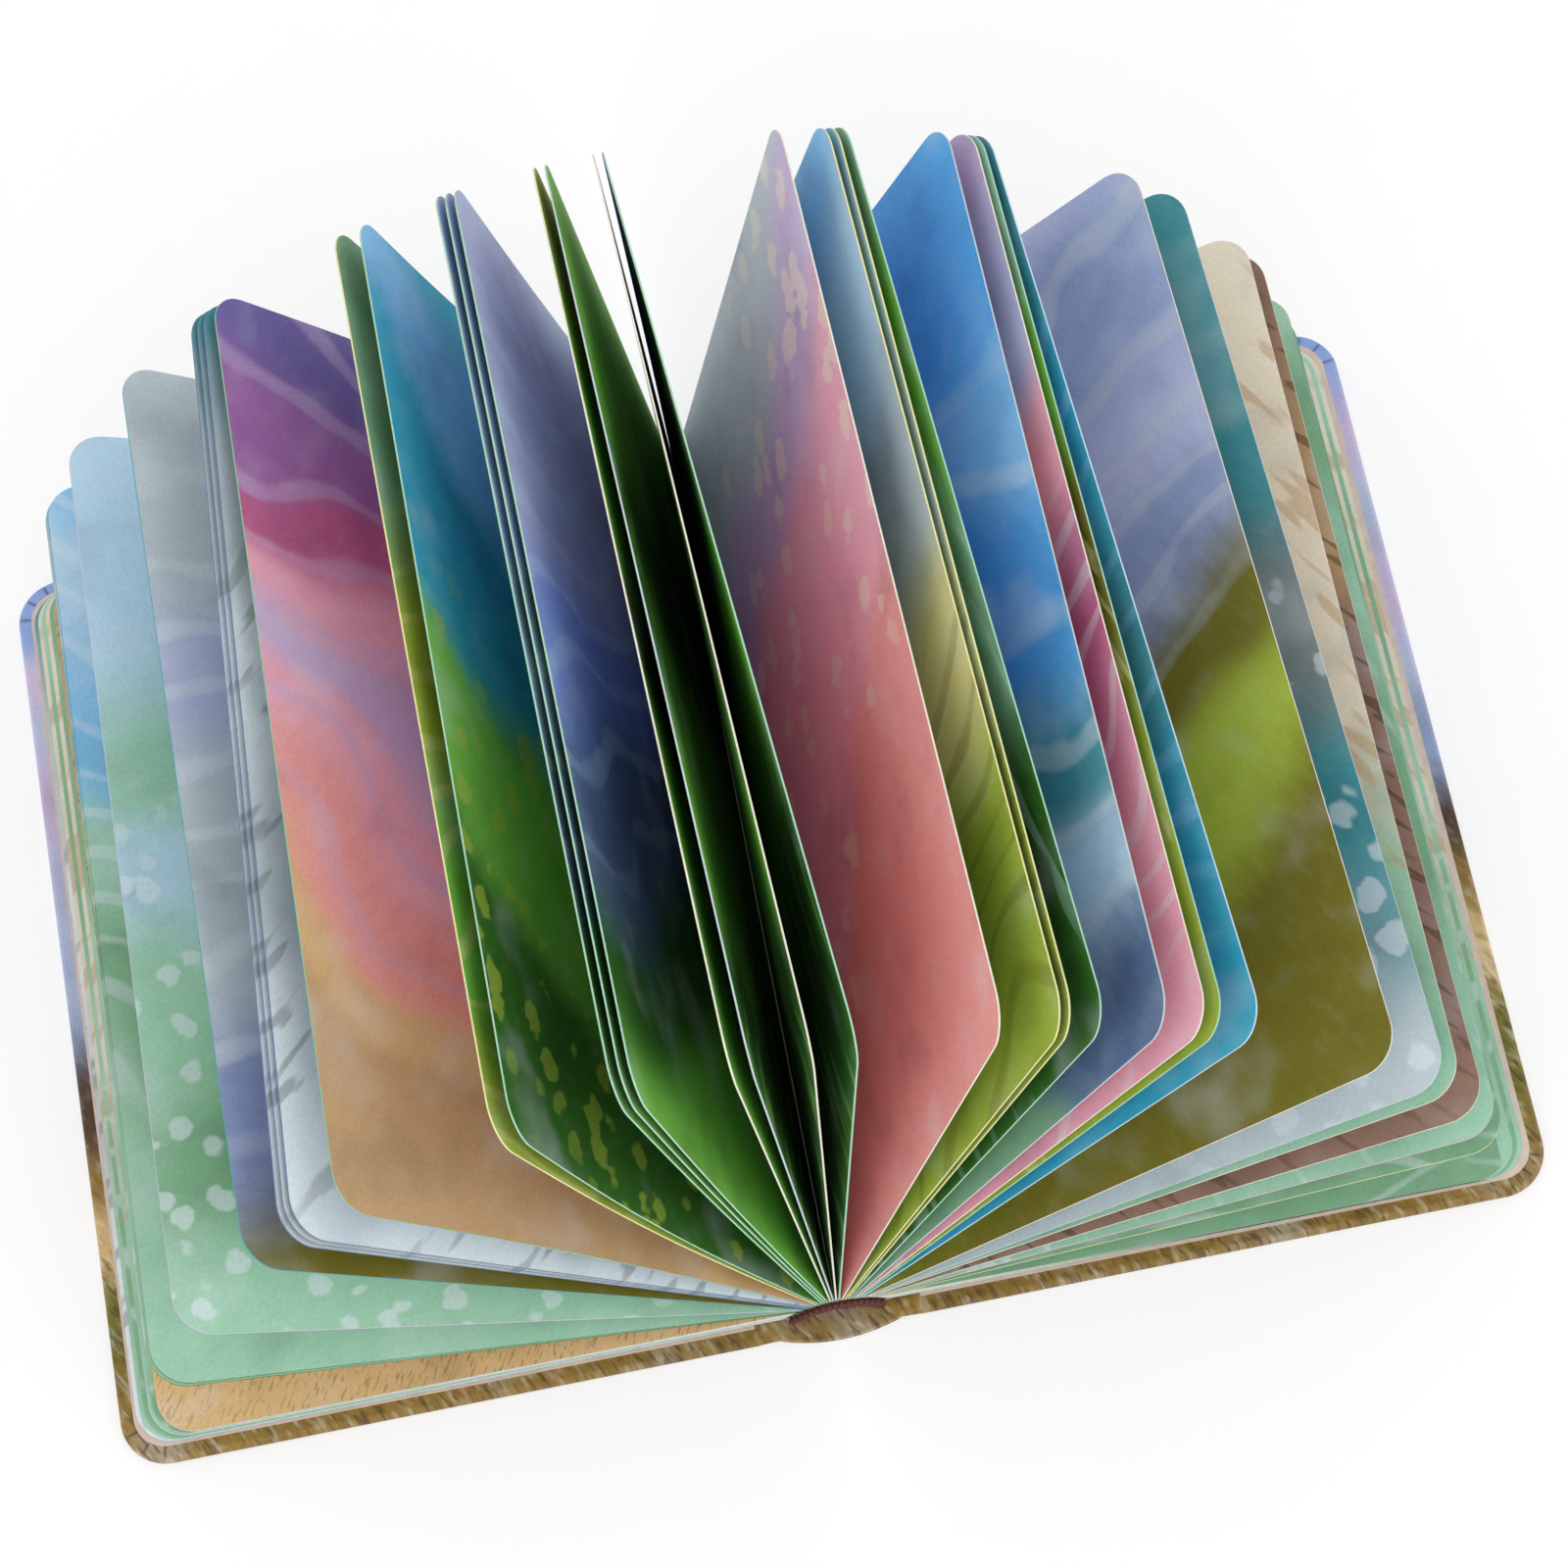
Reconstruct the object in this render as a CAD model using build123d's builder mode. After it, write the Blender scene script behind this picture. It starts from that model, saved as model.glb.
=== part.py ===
"""A hardcover journal lying open on a table, with its leaves standing up in a fan.

X runs across the open book with the front cover at -X, +Y points from the tail edge to the head edge and
+Z points up from the table, where the covers lie flat. Sizes are in millimetres and angles in degrees.
"""

import math
import os

from build123d import *

# Covers
cover_height = 210.0
cover_width = 133.5
cover_corner_radius = 10.0
board_thickness = 2.5
covering_thickness = 0.4
covering_fold_bevel = 0.4
turn_in_width = 15.0
endpaper_thickness = 0.25
endpaper_margin = 3.0

# Spine of the case and the grooves beside it
spine_width = 25.0
spine_rounding = 0.8
spine_card_thickness = 1.0
spine_cap_bulge = 1.8
joint_width = 5.0
groove_depth = 1.7

# Bound back of the text block, an arch that rises clear of the spine when the book lies open
back_inset = 1.5
back_rise = 5.0
back_lift = 0.75
back_thickness = 1.8

# Bands at the two ends of the bound back, and the lining between their tapes
band_bead = 1.6
band_edge_bevel = 0.5
tape_width = 9.0
tape_thickness = 0.3

# Leaves
leaf_thickness = 0.36
leaf_corner_radius = 8.0
fore_edge_square = 6.5
end_square = 3.5
binding_depth = 1.0
lying_gap = 0.1

# Worked-out sizes
cover_inner_edge = spine_width / 2 + joint_width
board_top = covering_thickness + board_thickness
turn_in_top = board_top + covering_thickness
endpaper_top = turn_in_top + endpaper_thickness
card_top = covering_thickness + spine_card_thickness
spine_turn_in_top = card_top + covering_thickness
back_width = spine_width - 2 * back_inset
back_radius = (back_width**2 / 4 + back_rise**2) / (2 * back_rise)
back_half_angle = math.asin(back_width / 2 / back_radius)
back_centre_height = endpaper_top + back_lift + back_rise - back_radius
leaf_height = cover_height - 2 * end_square
leaf_width = cover_inner_edge + cover_width - fore_edge_square - back_width / 2

# The lowest leaf on either side slopes from the foot of the arch down to the cover's endpaper
lying_drop = back_lift - leaf_thickness / 2 - lying_gap
lying_angle = math.degrees(math.asin(lying_drop / leaf_width))

# The fan from the front cover to the back cover, group by group: how many leaves stand together, the angle
# of the first of them at the tail and at the head, counted up from the front cover's side, and the angle
# from one to the next
group_leaf_counts = [6, 2, 1, 1, 3, 1, 1, 1, 3, 1, 1, 1, 1, 1, 2, 1, 1, 1, 1, 1, 1, 1, 1, 1, 1, 1, 5]
group_tail_angles = [-lying_angle, 13.0, 25.5, 40.2, 45.2, 51.6, 67.5, 69.0, 77.6]
group_tail_angles += [86.3, 87.7, 92.4, 95.8, 107.4, 112.3, 115.4, 120.9, 124.4]
group_tail_angles += [125.8, 129.4, 146.3, 154.9, 157.6, 164.0, 169.4, 173.4, 180.0 + lying_angle]
group_head_angles = [-lying_angle, 18.5, 28.1, 40.3, 51.0, 53.0, 66.5, 68.8, 75.9]
group_head_angles += [84.0, 84.8, 88.8, 89.4, 104.7, 108.6, 109.8, 119.1, 121.4]
group_head_angles += [121.9, 122.4, 139.2, 145.5, 157.6, 161.0, 170.1, 173.4, 180.0 + lying_angle]
group_step_angles = [0.0, 0.5, 0.0, 0.0, 0.5, 0.0, 0.0, 0.0, 0.6, 0.0, 0.0, 0.0, 0.0, 0.0]
group_step_angles += [0.6, 0.0, 0.0, 0.0, 0.0, 0.0, 0.0, 0.0, 0.0, 0.0, 0.0, 0.0, 0.0]
leaf_count = sum(group_leaf_counts)

os.makedirs("parts", exist_ok=True)


def cover_outline(inset, side):
    """A cover's outline set in from its three outer edges, with rounded corners as long as any are left."""
    width = cover_width - inset
    corner_radius = cover_corner_radius - inset
    with BuildSketch() as outline:
        with Locations((side * (cover_inner_edge + width / 2), 0)):
            Rectangle(width, cover_height - 2 * inset)
        if corner_radius > 0:
            fillet(outline.vertices().sort_by(Axis.X, reverse=side > 0)[:2], corner_radius)
    return outline.sketch


def outer_edges(faces, side):
    """The edges round the given flat faces, without the straight one beside the spine."""
    edges = faces.edges().sort_by(Axis.X, reverse=side < 0)
    return edges[len(faces):]


def spine_plan(inset):
    """The plan of the spine, whose ends bulge out at head and tail, with both ends drawn in by the inset."""
    half_width = spine_width / 2
    half_height = cover_height / 2 - inset
    with BuildSketch() as plan:
        with BuildLine():
            for end in (-1, 1):
                crown = (0, end * (half_height + spine_cap_bulge))
                ThreePointArc((-half_width, end * half_height), crown, (half_width, end * half_height))
            for side in (-1, 1):
                Line((side * half_width, -half_height), (side * half_width, half_height))
        make_face()
    return plan.sketch


def spine_section(bottom, top):
    """The section of a layer of the rounded spine between two heights, measured at its middle."""
    half_width = spine_width / 2
    with BuildSketch(Plane.XZ) as section:
        with BuildLine():
            for height in (bottom, top):
                edge_height = height + spine_rounding
                ThreePointArc((-half_width, edge_height), (0, height), (half_width, edge_height))
            for side in (-1, 1):
                Line((side * half_width, bottom + spine_rounding), (side * half_width, top + spine_rounding))
        make_face()
    return section.sketch


def spine_layer(bottom, top, inset):
    """A layer of the rounded spine, cut to the spine's plan."""
    with BuildPart() as layer:
        extrude(spine_section(bottom, top), amount=cover_height, both=True)
        extrude(spine_plan(inset), amount=cover_height, both=True, mode=Mode.INTERSECT)
    return layer.part


def joint_section(lift, side):
    """The section of a layer of covering as it dips into the groove between the spine and a board."""
    spine_end = (side * spine_width / 2, spine_rounding + lift)
    groove = (side * (spine_width + joint_width) / 2, groove_depth + lift)
    board_end = (side * cover_inner_edge, lift)
    with BuildSketch(Plane.XZ) as section:
        with BuildLine():
            lower = ThreePointArc(spine_end, groove, board_end)
            upper = ThreePointArc(*((x, z + covering_thickness) for x, z in (spine_end, groove, board_end)))
            Line(lower @ 0, upper @ 0)
            Line(lower @ 1, upper @ 1)
        make_face()
    return section.sketch


def back_section(shallow, deep):
    """The section of a layer of the arched back between two depths under the roots of the leaves."""
    ends = []
    with BuildSketch(Plane.XZ) as section:
        with BuildLine():
            for depth in (shallow, deep):
                radius = back_radius - depth
                reach = radius * math.sin(back_half_angle)
                foot = back_centre_height + radius * math.cos(back_half_angle)
                ThreePointArc((-reach, foot), (0, back_centre_height + radius), (reach, foot))
                ends.append((reach, foot))
            for side in (-1, 1):
                Line(*((side * reach, foot) for reach, foot in ends))
        make_face()
    return section.sketch


def leaf_root(place):
    """Where a leaf leaves the arched back; its place runs from -1 at the front to 1 at the back."""
    turn = place * back_half_angle
    return Vector(back_radius * math.sin(turn), 0, back_centre_height + back_radius * math.cos(turn))


def leaf_direction(angle):
    """The way a leaf points, square to the spine, at an angle counted up from the front cover's side."""
    return Vector(-1, 0, 0).rotate(Axis.Y, angle)


def build_leaf(place, tail_angle, head_angle):
    """A leaf with rounded outer corners, twisted where its tail and its head stand at unlike angles."""
    root = leaf_root(place)
    with BuildPart() as leaf:
        for height, angle in ((-leaf_height / 2, tail_angle), (leaf_height / 2, head_angle)):
            end_plane = Plane(root + Vector(0, height, 0), leaf_direction(angle), Vector(0, 1, 0))
            with BuildSketch(end_plane):
                with Locations(((leaf_width - binding_depth) / 2, 0)):
                    Rectangle(leaf_width + binding_depth, leaf_thickness)
        loft(ruled=True)
        flat_plane = Plane(root, Vector(0, 1, 0), leaf_direction((tail_angle + head_angle) / 2 + 90))
        with BuildSketch(flat_plane) as outline:
            with Locations((0, (leaf_width - binding_depth) / 2)):
                Rectangle(leaf_height, leaf_width + binding_depth)
            fillet(outline.vertices().sort_by(Axis.Y)[-2:], leaf_corner_radius)
        extrude(amount=leaf_width, both=True, mode=Mode.INTERSECT)
    return leaf.part


# Each cover is a board with the covering folded round it and an endpaper pasted over the turned-in edges,
# level inside because the space between the turn-ins is filled
for name, side in (("front", -1), ("back", 1)):
    with BuildPart() as board:
        with BuildSketch(Plane.XY.offset(covering_thickness)):
            add(cover_outline(covering_thickness, side))
        extrude(amount=board_thickness)
    board.part.label = f"{name}_board"
    export_step(board.part, f"parts/{name}_board.step")

    with BuildPart() as covering:
        with BuildSketch():
            add(cover_outline(0, side))
        extrude(amount=turn_in_top)
        chamfer(outer_edges(covering.faces().filter_by(Axis.Z), side), covering_fold_bevel)
        add(board.part, mode=Mode.SUBTRACT)
        with BuildSketch(Plane.XY.offset(board_top)):
            add(cover_outline(turn_in_width, side))
        extrude(amount=covering_thickness, mode=Mode.SUBTRACT)
    covering.part.label = f"{name}_covering"
    export_step(covering.part, f"parts/{name}_covering.step")

    with BuildPart() as pastedown:
        with BuildSketch(Plane.XY.offset(board_top)):
            add(cover_outline(turn_in_width, side))
        extrude(amount=covering_thickness)
        with BuildSketch(Plane.XY.offset(turn_in_top)):
            add(cover_outline(endpaper_margin, side))
        extrude(amount=endpaper_thickness)
    pastedown.part.label = f"{name}_pastedown"
    export_step(pastedown.part, f"parts/{name}_pastedown.step")

    # The flexible strip of covering in the groove, doubled where it is turned in at head and tail
    with BuildPart() as joint:
        extrude(joint_section(0, side), amount=cover_height / 2, both=True)
        for end in (-1, 1):
            turn_in = joint_section(covering_thickness, side)
            turn_in_place = Location((0, end * (cover_height - turn_in_width) / 2, 0))
            extrude(turn_in.moved(turn_in_place), amount=turn_in_width / 2, both=True)
    joint.part.label = f"{name}_joint"
    export_step(joint.part, f"parts/{name}_joint.step")

# The spine is a thin rounded card with the covering turned in over both its ends
with BuildPart() as spine_card:
    add(spine_layer(covering_thickness, card_top, covering_thickness))
spine_card.part.label = "spine_card"
export_step(spine_card.part, "parts/spine_card.step")

with BuildPart() as spine_covering:
    add(spine_layer(0, spine_turn_in_top, 0))
    add(spine_card.part, mode=Mode.SUBTRACT)
    add(spine_layer(card_top, spine_turn_in_top, turn_in_width), mode=Mode.SUBTRACT)
spine_covering.part.label = "spine_covering"
export_step(spine_covering.part, "parts/spine_covering.step")

# The text block is the arched back and every leaf that is bound into it
leaves = []
groups = zip(group_leaf_counts, group_tail_angles, group_head_angles, group_step_angles)
for count, tail_angle, head_angle, step_angle in groups:
    for step in range(count):
        place = (2 * len(leaves) + 1) / leaf_count - 1
        turned = step * step_angle
        leaves.append(build_leaf(place, tail_angle + turned, head_angle + turned))

with BuildPart() as pages:
    extrude(back_section(0, back_thickness), amount=leaf_height / 2, both=True)
    add(leaves)
pages.part.label = "pages"
export_step(pages.part, "parts/pages.step")

# A band closes each end of the back: a bead over the folds, on a tape that is glued under the back
tape_depth = back_thickness + tape_thickness
for name, end in (("tailband", -1), ("headband", 1)):
    with BuildPart() as band:
        bead = back_section(0, tape_depth).moved(Location((0, end * (leaf_height + band_bead) / 2, 0)))
        extrude(bead, amount=band_bead / 2, both=True)
        bead_face = band.faces().sort_by(Axis.Y)[-1 if end > 0 else 0]
        chamfer(bead_face.edges().filter_by(GeomType.CIRCLE), band_edge_bevel)
        tape_place = Location((0, end * (leaf_height - tape_width) / 2, 0))
        tape = back_section(back_thickness, tape_depth).moved(tape_place)
        extrude(tape, amount=tape_width / 2, both=True)
    band.part.label = name
    export_step(band.part, f"parts/{name}.step")

with BuildPart() as spine_lining:
    lining = back_section(back_thickness, tape_depth)
    extrude(lining, amount=leaf_height / 2 - tape_width, both=True)
spine_lining.part.label = "spine_lining"
export_step(spine_lining.part, "parts/spine_lining.step")
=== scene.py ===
"""A hardcover journal that lies open with its colour-washed leaves standing in a fan."""

import math

import bpy
from mathutils import Matrix, Vector


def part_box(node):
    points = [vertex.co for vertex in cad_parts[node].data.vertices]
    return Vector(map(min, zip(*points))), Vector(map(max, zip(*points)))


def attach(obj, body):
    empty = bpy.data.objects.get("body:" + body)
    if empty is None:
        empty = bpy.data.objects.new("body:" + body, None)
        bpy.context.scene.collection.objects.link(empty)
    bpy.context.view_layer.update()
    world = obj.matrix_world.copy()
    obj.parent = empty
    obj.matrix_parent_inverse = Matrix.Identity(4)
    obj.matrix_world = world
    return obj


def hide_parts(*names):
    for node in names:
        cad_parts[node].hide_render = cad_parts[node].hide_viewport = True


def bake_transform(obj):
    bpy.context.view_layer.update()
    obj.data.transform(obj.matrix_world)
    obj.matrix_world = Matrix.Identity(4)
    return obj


bl_info = {
    "name": "Open Journal",
    "version": (1, 0, 0),
    "blender": (4, 5, 0),
    "location": "View3D > Sidebar > Journal",
    "description": "Builds an open hardcover journal with a fan of colour-washed leaves",
    "category": "Add Mesh",
}

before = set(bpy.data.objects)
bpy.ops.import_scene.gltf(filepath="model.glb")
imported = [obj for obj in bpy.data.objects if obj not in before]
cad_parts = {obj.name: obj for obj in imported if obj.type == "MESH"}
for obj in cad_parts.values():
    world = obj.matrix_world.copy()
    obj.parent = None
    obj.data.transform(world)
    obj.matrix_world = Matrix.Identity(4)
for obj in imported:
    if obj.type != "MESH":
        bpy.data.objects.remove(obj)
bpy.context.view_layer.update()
MM = 0.001

# The camera: its height above the table, its turn and its tilt in degrees, then millimetres and metres
CAMERA_ANGLES = (64.576, -0.196, -11.102)
CAMERA_LENS = 113.283
CAMERA_TARGET = (0.010665, 0.021106, 0.0)
CAMERA_DISTANCE = 1.079794

# The soft light of the room, and each lamp's place, width and power
ROOM_LIGHT = 0.95
LIGHTS = (
    ("key_light", (-0.6, -1.2, 1.3), 1.2, 7.0),
    ("fill_light", (0.8, -1.0, 1.4), 1.2, 6.0),
)
FLOOR = -0.0003

FLOOR_REACH = 2.5
FLOOR_GLOW = 0.6

# Leaves lying on a cover are the groups of more than this many. Each reaches out further than the one
# above it, and those below the top one have these edges and washes
LYING_COUNT = 4
SHINGLE = 0.6 * MM
STACK_EDGES = ("cloud", "cream", "mint", "cloud", "haze")
STACK_WASHES = ("dew", "shell", "fennel", "shell", "frost")

# Faces that meet at a sharper angle than this keep an edge
EDGE_ANGLE = 40.0

# Pleats at the covers' corners: how deep each step of the fold dips, as a share of the deepest
PLEATS = (0.0, 0.0, 0.1, 0.3, 1.0, 0.2, 0.0, 0.0, 0.0, 0.0, 0.0, 0.0)
PLEAT_STEPS = 36
PLEAT_DEPTH = 0.35 * MM

# The groove beside the spine: its height at the spine and half-way across, and the share of that at its ends,
# where the turn-in fills it
GROOVE_START = 0.8 * MM
GROOVE_DEPTH = 1.7 * MM
END_DIP = 0.3

# The bands' tape, and the length of a rib in pitches and the thickness of the core in widths of the bead
TAPE_WIDTH = 9.0 * MM
TAPE_THICKNESS = 0.3 * MM
TAPE_SHARE = 0.94
TAPE_STEPS = 24
RIB_SHARE = 1.35
CORE_SHARE = 0.38

# The fan, group by group from the front cover: leaves that stand together, the angle of the first at the tail
# and at the head, the angle from one leaf to the next, how far the leaf bows towards the back cover half-way
# out in millimetres, the wash on the opening that follows it and the tint of its cut edge
FAN = (
    (6, -0.27, -0.27, 0.17, 0.0, "sand", "cloud"),
    (2, 13.0, 18.5, 0.5, 0.0, "brook", "grass"),
    (1, 25.5, 28.1, 0.0, 0.0, "meadow", "lilac"),
    (1, 40.2, 40.3, 0.0, 0.0, "mist", "turquoise"),
    (3, 45.2, 51.0, 0.5, 0.0, "frost", "slate"),
    (1, 51.6, 53.0, 0.0, 2.0, "dusk", "sage"),
    (1, 67.5, 66.5, 0.0, -2.4, "sprout", "lemon"),
    (1, 69.0, 68.8, 0.0, -2.8, "lagoon", "mint"),
    (3, 77.6, 75.9, 0.6, -0.8, "storm", "mint"),
    (1, 86.3, 84.0, 0.0, 0.0, "fern", "cream"),
    (1, 87.7, 84.8, 0.0, 0.0, "pine", "haze"),
    (1, 92.4, 88.8, 0.0, 0.0, "slate", "cream"),
    (1, 95.8, 89.4, 0.0, 0.0, "blossom", "mint"),
    (1, 107.4, 104.7, 0.0, 0.0, "noon", "cream"),
    (2, 112.3, 108.6, 0.6, 0.0, "grass", "lemon"),
    (1, 115.4, 109.8, 0.0, 0.0, "breeze", "mint"),
    (1, 120.9, 119.1, 0.0, 0.0, "petal", "haze"),
    (1, 124.4, 121.4, 0.0, 0.0, "moss", "cream"),
    (1, 125.8, 121.9, 0.0, 0.0, "reef", "mint"),
    (1, 129.4, 122.4, 0.0, 0.0, "moor", "pale_sky"),
    (1, 146.3, 139.2, 0.0, 0.0, "shore", "cream"),
    (1, 154.9, 145.5, 0.0, 0.0, "shell", "haze"),
    (1, 157.6, 157.6, 0.0, 0.0, "clay", "cream"),
    (1, 164.0, 161.0, 0.0, 0.0, "clover", "cream"),
    (1, 169.4, 170.1, 0.0, 0.0, "dew", "rose"),
    (1, 173.4, 173.4, 0.0, 0.0, "fennel", "lemon"),
    (5, 180.27, 180.27, -0.17, 0.0, "sand", "cream"),
)

# Each wash, from head to tail: its colours, how far its borders wander, how much they slope across the leaf,
# and marks in one more colour: their kind, tint, place down the leaf, reach and number
WASHES = {
    "sand": (("tan", "straw", "tan", "straw"), 0.10, 0.5, ("stroke", "ochre", 0.5, 0.9, 110)),
    "brook": (("sky", "pale_sky", "sky", "mint", "sage", "mint"), 0.10, 0.45,
              ("ripple", "cloud", 0.45, 0.5, 16)),
    "meadow": (("pale_sky", "mint", "pale_sky", "mint", "sage", "mint"), 0.12, -0.4,
               ("dab", "cloud", 0.7, 0.5, 24)),
    "mist": (("haze", "lavender", "haze", "haze", "dove", "olive"), 0.08, -0.35,
             ("ripple", "cloud", 0.4, 0.5, 12)),
    "frost": (("turquoise", "haze", "cloud", "haze", "cloud"), 0.10, 0.3, ("stroke", "stone", 0.7, 0.5, 18)),
    "dusk": (("indigo", "indigo", "plum", "magenta", "rose", "lilac", "rose", "coral", "straw", "tan"),
             0.12, 0.5, ("ripple", "lilac", 0.4, 0.5, 11)),
    "sprout": (("sage", "lime", "leaf", "lime"), 0.12, -0.4, ("ripple", "lemon", 0.6, 0.5, 16)),
    "lagoon": (("teal", "sky", "teal", "teal", "leaf", "leaf", "grass"), 0.10, 0.5,
               ("dab", "lime", 0.8, 0.4, 20)),
    "storm": (("lavender", "lavender", "periwinkle", "slate", "grass", "leaf"), 0.10, -0.4,
              ("ripple", "pale_sky", 0.3, 0.4, 12)),
    "fern": (("lime", "leaf", "grass", "leaf"), 0.12, 0.3, ("stroke", "leaf", 0.8, 0.5, 12)),
    "pine": (("leaf", "grass", "leaf", "grass"), 0.12, -0.3, ("stroke", "leaf", 0.8, 0.5, 12)),
    "slate": (("dove", "grass", "leaf", "grass"), 0.12, 0.3, ("stroke", "leaf", 0.8, 0.5, 12)),
    "blossom": (("haze", "lilac", "rose", "rose", "coral", "coral"), 0.14, 0.5,
                ("dab", "cream", 0.4, 0.5, 16)),
    "noon": (("sky", "pale_sky", "haze", "lemon", "lime"), 0.10, 0.4, ("ripple", "olive", 0.9, 0.3, 16)),
    "grass": (("sage", "leaf", "sage", "grass"), 0.12, 0.3, ("stroke", "mint", 0.7, 0.4, 14)),
    "breeze": (("azure", "sky", "azure", "turquoise", "pale_sky", "slate", "sage"), 0.14, -0.5,
               ("ripple", "cloud", 0.45, 0.4, 9)),
    "petal": (("lilac", "lavender", "rose", "magenta", "rose"), 0.14, 0.3, ("ripple", "cloud", 0.8, 0.3, 18)),
    "moss": (("mint", "leaf", "olive", "lime"), 0.12, 0.3, ("stroke", "lemon", 0.8, 0.3, 22)),
    "reef": (("turquoise", "teal", "turquoise", "teal"), 0.12, 0.3, ("ripple", "sky", 0.6, 0.5, 12)),
    "moor": (("lavender", "dove", "lavender", "dove", "olive", "lime", "olive"), 0.10, 0.45,
             ("ripple", "haze", 0.3, 0.4, 12)),
    "shore": (("turquoise", "stone", "turquoise", "haze"), 0.10, -0.3, ("dab", "cloud", 0.6, 0.4, 20)),
    "shell": (("cream", "cream", "cream", "mint"), 0.12, 0.3, ("stroke", "tan", 0.5, 0.5, 16)),
    "clay": (("rosewood", "tan", "rosewood", "rosewood"), 0.10, 0.3, ("stroke", "umber", 0.6, 0.6, 30)),
    "clover": (("mint", "sage", "mint", "sage", "mint"), 0.12, 0.3, ("stroke", "cloud", 0.8, 0.3, 14)),
    "dew": (("sage", "mint", "mint", "sage"), 0.12, -0.3, ("ripple", "cloud", 0.8, 0.4, 14)),
    "fennel": (("mint", "sage", "mint", "sage"), 0.12, 0.3, ("ripple", "cloud", 0.9, 0.3, 18)),
}

# How strongly each kind of mark covers the wash
MARK_STRENGTHS = {"dab": 0.6, "ripple": 0.4, "stroke": 0.6}

# The covering, from head to tail
COVERING = (
    ("periwinkle", "lilac", "lavender", "lilac", "lavender", "dove",
     "umber", "ochre", "straw", "olive", "ochre"),
    0.09, 0.0, ("stroke", "umber", 0.97, 0.24, 80))

# Sizes of the washes' texture, as numbers to a leaf's height, and the strength of each
WANDER_SCALE = 2.6
WANDER_SHARE = 2.6
BLOOM_SCALE = 7.0
THIN_PAINT = 0.24
THICK_PAINT = 0.4
RAGGED_SHARE = 0.015
TOOTH_SCALE = 240.0
TOOTH_SHADE = 0.3
# How dark the painted shade in the covering's creases is
PAINTED_CREASE_SHADE = 0.7

# A leaf's width in leaf heights, and the cover heights in a metre
LEAF_SHARE = 0.66
COVER_SCALE = 4.76

# Colours that deepen or lighten a wash: thick paint, a dark and a light streak, painted shade in creases and
# paper tooth
THICK_TINT = (0.55, 0.55, 0.6, 1.0)
DARK_STREAK = (0.55, 0.52, 0.50, 1.0)
LIGHT_STREAK = (0.28, 0.28, 0.24, 1.0)
PAINTED_CREASE_TINT = (0.2, 0.16, 0.14, 1.0)
TOOTH_TINT = (0.62, 0.62, 0.62, 1.0)


def colour(name, description, red, green, blue):
    """A colour that can be changed in the sidebar."""
    return bpy.props.FloatVectorProperty(
        name=name, description=description, subtype="COLOR_GAMMA", default=(red, green, blue), min=0, max=1
    )


def length(name, description, millimetres):
    """A length that can be changed in the sidebar."""
    return bpy.props.FloatProperty(
        name=name, description=description, subtype="DISTANCE", unit="LENGTH", default=millimetres * MM, min=0
    )


class JournalPaints(bpy.types.PropertyGroup):
    """The colours of the washes."""

    cream: colour("Cream", "Bare paper", 0.90, 0.87, 0.80)
    linen: colour("Linen", "Endpapers", 0.82, 0.75, 0.70)
    cloud: colour("Cloud", "Near white wash", 0.87, 0.91, 0.93)
    lemon: colour("Lemon", "Pale yellow dabs", 0.88, 0.86, 0.62)
    sky: colour("Sky", "Light blue", 0.55, 0.78, 0.92)
    pale_sky: colour("Pale sky", "Very light blue", 0.74, 0.85, 0.92)
    azure: colour("Azure", "Strong blue", 0.36, 0.67, 0.89)
    teal: colour("Teal", "Deep blue-green", 0.22, 0.66, 0.77)
    turquoise: colour("Turquoise", "Blue-green", 0.29, 0.60, 0.64)
    mint: colour("Mint", "Pale green", 0.64, 0.81, 0.71)
    sage: colour("Sage", "Greyed green", 0.53, 0.71, 0.57)
    leaf: colour("Leaf", "Fresh green", 0.48, 0.74, 0.30)
    grass: colour("Grass", "Dark green", 0.20, 0.42, 0.12)
    olive: colour("Olive", "Brownish green", 0.46, 0.44, 0.13)
    lime: colour("Lime", "Yellow-green", 0.66, 0.74, 0.28)
    straw: colour("Straw", "Pale gold", 0.84, 0.72, 0.52)
    ochre: colour("Ochre", "Brownish gold", 0.56, 0.44, 0.18)
    umber: colour("Umber", "Dark brown", 0.28, 0.19, 0.10)
    tan: colour("Tan", "Light brown", 0.76, 0.64, 0.48)
    rosewood: colour("Rosewood", "Greyed brown", 0.60, 0.48, 0.42)
    periwinkle: colour("Periwinkle", "Soft violet-blue", 0.54, 0.64, 0.86)
    lavender: colour("Lavender", "Greyed violet", 0.71, 0.74, 0.86)
    lilac: colour("Lilac", "Pinkish violet", 0.78, 0.71, 0.84)
    dove: colour("Dove", "Blue-grey", 0.57, 0.63, 0.78)
    slate: colour("Slate", "Dark blue-grey", 0.38, 0.48, 0.62)
    indigo: colour("Indigo", "Dark violet", 0.44, 0.39, 0.64)
    plum: colour("Plum", "Dark red-violet", 0.62, 0.42, 0.66)
    magenta: colour("Magenta", "Strong pink", 0.76, 0.41, 0.58)
    rose: colour("Rose", "Soft pink", 0.91, 0.69, 0.75)
    coral: colour("Coral", "Pinkish red", 0.90, 0.64, 0.62)
    haze: colour("Haze", "Light blue-grey", 0.74, 0.79, 0.81)
    stone: colour("Stone", "Middle grey", 0.52, 0.56, 0.56)
    maroon: colour("Maroon", "Thread of the bands", 0.36, 0.14, 0.11)
    floor: colour("Floor", "The table", 0.97, 0.97, 0.97)


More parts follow.
